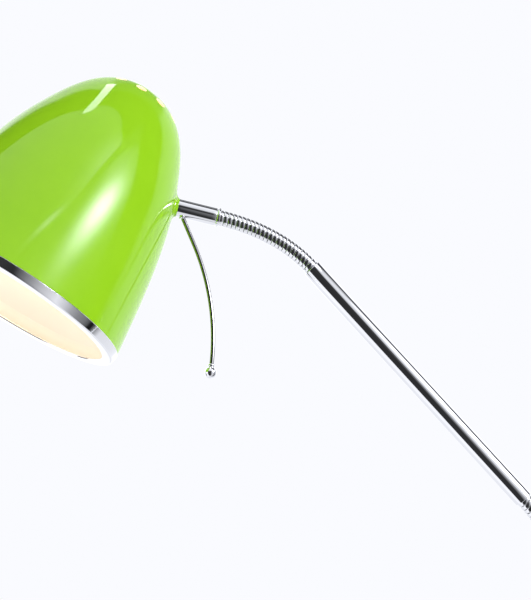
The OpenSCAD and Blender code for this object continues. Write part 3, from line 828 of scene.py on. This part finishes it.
def gooseneck(prefix, s0, a0, bend, end, bodies, swaps):
    line = curve(s0, a0, bend, end)
    ds = TURN / ROWS
    for k in range(1, LINKS + 1):
        lo, hi = PITCH * (k - 1) - 0.2, PITCH * k + 0.2
        if k == 1:
            lo = -2.0
        if k == LINKS:
            hi = NECK_LEN + 2.0
        j0, j1 = int(math.floor((lo - TURN) / ds)) - 1, int(math.ceil(hi / ds)) + 1
        js = np.arange(j0, j1 + ROWS + 1)
        rows = len(js)
        jj, cc = np.meshgrid(js, np.arange(COLS), indexing="ij")
        th = 2 * math.pi * cc / COLS
        s = jj * ds + TURN * th / (2 * math.pi)
        phase = (jj % ROWS) / ROWS
        x = np.minimum(phase, 1 - phase) * TURN
        drop, groove = coil_height(x)
        r = NECK_R - drop
        co = np.stack([r * np.cos(th), r * np.sin(th), s], -1).reshape(-1, 3)
        faces = []
        for i in range(rows - 1):
            for q in range(COLS - 1):
                a = i * COLS + q
                faces.append((a, a + 1, a + COLS + 1, a + COLS))
        for i in range(rows - 1 - ROWS):
            a = i * COLS + COLS - 1
            b = (i + ROWS) * COLS
            faces.append((a, b, b + COLS, a + COLS))
        me = bpy.data.meshes.new(f"{prefix}_coil_{k}")
        me.from_pydata(co.tolist(), [], faces)
        # groove mask, 0 on the crests and up to 0.85 deep in the grooves; the coil chrome paints shade and adds
        # roughness with it
        att = me.attributes.new("groove", "FLOAT", "POINT")
        att.data.foreach_set("value", (groove.reshape(-1) ** 1.5 * 0.85).astype(np.float32))
        bm = bmesh.new()
        bm.from_mesh(me)
        bmesh.ops.remove_doubles(bm, verts=bm.verts, dist=1e-5)
        for height, keep_up in ((lo, True), (hi, False)):
            bmesh.ops.bisect_plane(bm, geom=bm.verts[:] + bm.edges[:] + bm.faces[:], plane_co=(0, 0, height), plane_no=(0, 0, 1), clear_inner=keep_up, clear_outer=not keep_up, dist=1e-6)
        # an inner wall and end rings make each piece a closed shell
        edge_loops = [e for e in bm.edges if e.is_boundary]
        for height in (lo, hi):
            rim = [e for e in edge_loops if all(abs(v.co.z - height) < 1e-4 for v in e.verts)]
            got = bmesh.ops.extrude_edge_only(bm, edges=rim)
            for v in [g for g in got["geom"] if isinstance(g, bmesh.types.BMVert)]:
                rr = math.hypot(v.co.x, v.co.y)
                v.co.x *= 3.0 / rr
                v.co.y *= 3.0 / rr
        inner = [e for e in bm.edges if e.is_boundary and all(math.hypot(v.co.x, v.co.y) < 3.1 for v in e.verts)]
        bmesh.ops.bridge_loops(bm, edges=inner)
        bmesh.ops.recalc_face_normals(bm, faces=bm.faces)
        bm.to_mesh(me)
        bm.free()
        co = np.zeros(len(me.vertices) * 3)
        me.vertices.foreach_get("co", co)
        co = co.reshape(-1, 3)
        q, a = on_curve(line, co[:, 2])
        side = np.stack([np.sin(a), np.zeros_like(a), -np.cos(a)], 1)
        world = q + co[:, :1] * side + co[:, 1:2] * np.array([0.0, 1.0, 0.0])
        me.vertices.foreach_set("co", (world * K).ravel())
        me.update()
        me.polygons.foreach_set("use_smooth", [True] * len(me.polygons))
        me.set_sharp_from_angle(angle=math.radians(55))
        me.materials.append(CHROME_NECK)
        o = bpy.data.objects.new(f"{prefix}_coil_{k}", me)
        bpy.context.scene.collection.objects.link(o)
        ends, _ = on_curve(line, np.array([PITCH * (k - 1), PITCH * k]))
        near, far = (bodies[k - 1], ends[0]), (bodies[k], ends[1])
        if (prefix, k) in FROM_FAR_END:
            near, far = far, near
        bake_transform(o)
        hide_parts(*swaps[k])


lower = ["stand"] + [f"lower_link_{i}" for i in range(1, 8)] + ["arm"]
upper = ["arm"] + [f"upper_link_{i}" for i in range(1, 8)] + ["head"]
swap_low = {k: [f"lower_neck_link_{k}"] for k in range(1, 8)}
swap_low[8] = ["arm_lower_bush"]
swap_up = {k: [f"upper_neck_link_{k}"] for k in range(1, 8)}
swap_up[8] = ["ferrule_bush"]
swap_up[1] = ["upper_neck_link_1", "arm_upper_bush"]
gooseneck("lower", S_LOW, 90, LOWER_BEND, ARM_P, lower, swap_low)
gooseneck("upper", S_UP, ARM_A, UPPER_BEND, FER_P, upper, swap_up)

# ------------------------------------------------------------------ CAD nodes that stay
NODE_SLOT = {p["node"]: p["material_slot"] for p in RECORD["subparts"]}
for name, o in frame["nodes"].items():
    if o.hide_render:
        continue
    s = NODE_SLOT[name]
    o.data.materials.clear()
    o.data.materials.append(BY_SLOT[s])

# ------------------------------------------------------------------ floor, light, camera
co, faces = lathe_data([(r, 0) for r in (0, 0.4, 0.8, 1.6, 3.2, 6.4, 12)], 96, closed=False)
fm = bpy.data.meshes.new("floor")
fm.from_pydata([(x, y, -0.0002) for x, y, _ in co.tolist()], [], [list(f) for f in faces])
floor = bpy.data.objects.new("floor", fm)
bpy.context.scene.collection.objects.link(floor)
m = Mat("floor_pale")
a, b = m.noise(2.5, 4, 0.55), m.noise(140, 4, 0.6)
m.to("Base Color", m.mix(m.remap(a, 0.3, 0.7, 0, 1), (0.80, 0.80, 0.83), (0.84, 0.84, 0.87)))
m.to("Roughness", m.remap(b, 0.3, 0.7, 0.55, 0.7))
m.to("Normal", m.bump(b, 0.05, 0.0002))
fm.materials.append(m.m)
floor.visible_glossy = False

world = bpy.data.worlds.new("studio")
bpy.context.scene.world = world
world.use_nodes = True
W = world.node_tree
W.nodes.clear()


def wm(op, a, b=None, c=None):
    n = W.nodes.new("ShaderNodeMath")
    n.operation = op
    for i, x in enumerate((a, b, c)):
        if x is None:
            continue
        if isinstance(x, (int, float)):
            n.inputs[i].default_value = float(x)
        else:
            W.links.new(x, n.inputs[i])
    return n.outputs[0]


def step(v, a, b):
    """0 below a, 1 above b (or the other way round if b < a)."""
    n = W.nodes.new("ShaderNodeMapRange")
    n.interpolation_type = "SMOOTHSTEP"
    flip = b < a
    n.inputs["From Min"].default_value = min(a, b)
    n.inputs["From Max"].default_value = max(a, b)
    n.inputs["To Min"].default_value = 1.0 if flip else 0.0
    n.inputs["To Max"].default_value = 0.0 if flip else 1.0
    if isinstance(v, (int, float)):
        n.inputs["Value"].default_value = v
    else:
        W.links.new(v, n.inputs["Value"])
    return n.outputs[0]


def window(v, a, b, soft):
    return wm("MULTIPLY", step(v, a - soft / 2, a + soft / 2), step(v, b + soft / 2, b - soft / 2))


tc = W.nodes.new("ShaderNodeTexCoord")
xyz = W.nodes.new("ShaderNodeSeparateXYZ")
W.links.new(tc.outputs["Generated"], xyz.inputs[0])
X, Y, Z = xyz.outputs
az = wm("MULTIPLY", wm("ARCTAN2", X, wm("MULTIPLY", Y, -1.0)), 180 / math.pi)
el = wm("MULTIPLY", wm("ARCSINE", wm("MAXIMUM", wm("MINIMUM", Z, 1.0), -1.0)), 180 / math.pi)


def blend_to(v, mask, level):
    """v where the mask is 0, level where it is 1."""
    return wm("ADD", wm("MULTIPLY", v, wm("SUBTRACT", 1.0, mask)), wm("MULTIPLY", mask, level))


def plane(a, b, c):
    """Signed distance of the direction from a plane through the middle of the room."""
    return wm("ADD", wm("MULTIPLY", X, a), wm("ADD", wm("MULTIPLY", Y, b), wm("MULTIPLY", Z, c)))


def both(*masks):
    out = masks[0]
    for m in masks[1:]:
        out = wm("MULTIPLY", out, m)
    return out


def glow(a, e, wa, we, turn=0.0):
    """A soft round patch of light at azimuth a and elevation e."""
    c, s = math.cos(math.radians(turn)), math.sin(math.radians(turn))
    da, de = wm("SUBTRACT", az, a), wm("SUBTRACT", el, e)
    p = wm("DIVIDE", wm("ADD", wm("MULTIPLY", da, c), wm("MULTIPLY", de, s)), wa)
    q = wm("DIVIDE", wm("SUBTRACT", wm("MULTIPLY", de, c), wm("MULTIPLY", da, s)), we)
    return wm("EXPONENT", wm("MULTIPLY", wm("ADD", wm("MULTIPLY", p, p), wm("MULTIPLY", q, q)), -0.5))


def round_room(stops):
    """Brightness by azimuth, straight lines between (azimuth, level) pairs."""
    r = W.nodes.new("ShaderNodeValToRGB").color_ramp
    node = W.nodes[-1]
    r.interpolation = "LINEAR"
    r.elements[0].position, r.elements[1].position = (stops[0][0] + 180) / 360, (stops[-1][0] + 180) / 360
    r.elements[0].color = (*[stops[0][1]] * 3, 1)
    r.elements[1].color = (*[stops[-1][1]] * 3, 1)
    for a, v in stops[1:-1]:
        e = r.elements.new((a + 180) / 360)
        e.color = (v, v, v, 1)
    W.links.new(wm("DIVIDE", wm("ADD", az, 180.0), 360.0), node.inputs[0])
    n = W.nodes.new("ShaderNodeRGBToBW")
    W.links.new(node.outputs[0], n.inputs[0])
    return n.outputs[0]


# the room below eye level, by azimuth: dark stand in front, a pale ramp, a thin dark gap, the backdrop
low = round_room([(-180, 0.92), (-126, 0.95), (-118, 1.08), (-64.5, 1.08), (-61, 0.03), (-5, 0.03), (4, 0.20), (12, 0.36), (20, 0.56), (29, 0.72), (38, 0.90), (48, 0.67), (58, 0.42),
                  (69, 0.27), (80, 0.19), (86, 0.10), (89, 0.012), (93, 0.012), (100, 0.30), (109, 0.82), (142, 0.92), (160, 1.05), (180, 0.92)])
# the same at eye level and a little above
mid = round_room([(-180, 1.3), (-150, 1.7), (-110, 1.9), (-64.5, 1.6), (-61, 0.04), (1, 0.04), (8, 0.30), (16, 0.74), (22, 0.86), (34, 0.80), (44, 0.80), (58, 0.50), (70, 0.35), (80, 0.20),
                  (88, 0.10), (96, 0.10), (100, 0.75), (106, 1.15), (140, 1.35), (180, 1.25)])
# and overhead: the dark ceiling round the soft boxes
high = round_room([(-180, 1.2), (-150, 1.2), (-143, 0.10), (-128, 0.02), (-60, 0.03), (20, 0.10), (60, 0.10), (96, 0.09), (104, 0.24), (160, 0.24), (174, 0.6), (180, 1.2)])
level = blend_to(low, step(el, -10, -4), mid)
level = blend_to(level, both(window(az, -61, 7, 4), step(el, -6, -2), step(el, 20, 12)), 0.035)
level = blend_to(level, step(el, -64, -74), 0.83)
level = blend_to(level, both(step(el, 40, 46)), high)
level = blend_to(level, both(window(az, -61, 15, 6), step(el, 20, 30)), high)
level = blend_to(level, both(step(az, 66, 74), step(az, 101, 98), step(el, 4, 12)), 0.06)
# a dark flag at the back left, so that the chrome has an edge from behind as well
level = blend_to(level, both(window(az, -126, -106, 4), window(el, -36, 38, 6)), 0.05)
# broad soft box overhead, straight sides and one soft corner
fade = wm("ADD", 0.72, wm("MULTIPLY", step(el, 28, 66), 0.34))
panel = both(step(plane(-1, 0, 0.90), -0.010, 0.012), step(plane(-0.50, -1, -0.215), -0.010, 0.012), step(wm("SUBTRACT", wm("ADD", X, Y), wm("MULTIPLY", Z, 0.16)), 0.03, -0.03), step(az, -118, -106), step(el, 17, 27))
level = blend_to(level, panel, fade)
# standing soft box on the right, its left side parallel to the first one's right side
side_box = both(step(plane(1, 0, -1.10), -0.008, 0.020), step(az, 72, 69), step(el, -4, 10), step(el, 39, 33), step(az, 32, 48))
level = blend_to(level, side_box, 0.95)
level = wm("ADD", level, wm("MULTIPLY", wm("MULTIPLY", glow(42, 35, 11, 7.5), panel), 2.6))
level = wm("ADD", level, wm("MULTIPLY", wm("MULTIPLY", glow(53, 24, 10, 7), side_box), 2.4))
level = wm("ADD", level, wm("MULTIPLY", glow(50.5, 16.2, 7.3, 4.4), 25.0))
level = wm("ADD", level, wm("MULTIPLY", glow(17.0, 26.6, 3.4, 0.9), 4.2))
# strip light straight above
strip = both(step(plane(1, -0.10, 0.060), -0.005, 0.005), step(plane(-1, 0.10, 0.034), -0.005, 0.005), step(plane(0, 1, 0.235), -0.02, 0.006), step(Z, 0.5, 0.52), step(plane(0, -1, 0.30), -0.01, 0.01))
level = blend_to(level, strip, 8.0)
mix = W.nodes.new("ShaderNodeMix")
mix.data_type = "RGBA"
lp = W.nodes.new("ShaderNodeLightPath")
tint = W.nodes.new("ShaderNodeCombineColor")
W.links.new(wm("MULTIPLY", level, 0.970), tint.inputs[0])
W.links.new(wm("MULTIPLY", level, 0.983), tint.inputs[1])
W.links.new(wm("MULTIPLY", level, 1.040), tint.inputs[2])
W.links.new(lp.outputs["Is Camera Ray"], mix.inputs["Factor"])
ins = [s for s in mix.inputs if s.type == "RGBA"]
W.links.new(tint.outputs[0], ins[0])
ins[1].default_value = (*srgb(250, 251, 255), 1)
bg = W.nodes.new("ShaderNodeBackground")
W.links.new([s for s in mix.outputs if s.type == "RGBA"][0], bg.inputs["Color"])
out = W.nodes.new("ShaderNodeOutputWorld")
W.links.new(bg.outputs[0], out.inputs[0])
world.cycles.sampling_method = "MANUAL"
world.cycles.sample_map_resolution = 1024

cam_data = bpy.data.cameras.new("camera")
cam = bpy.data.objects.new("camera", cam_data)
bpy.context.scene.collection.objects.link(cam)
cam.location = (-0.31027, -0.56981, 1.21410)
look = Vector((0.19538, 0.94968, 0.24482))
cam.rotation_euler = look.to_track_quat("-Z", "Y").to_euler()
cam_data.lens = 57.42
cam_data.sensor_width = 36
cam_data.clip_start = 0.01
cam_data.clip_end = 50
bpy.context.scene.camera = cam
bpy.context.scene.view_settings.view_transform = "Standard"
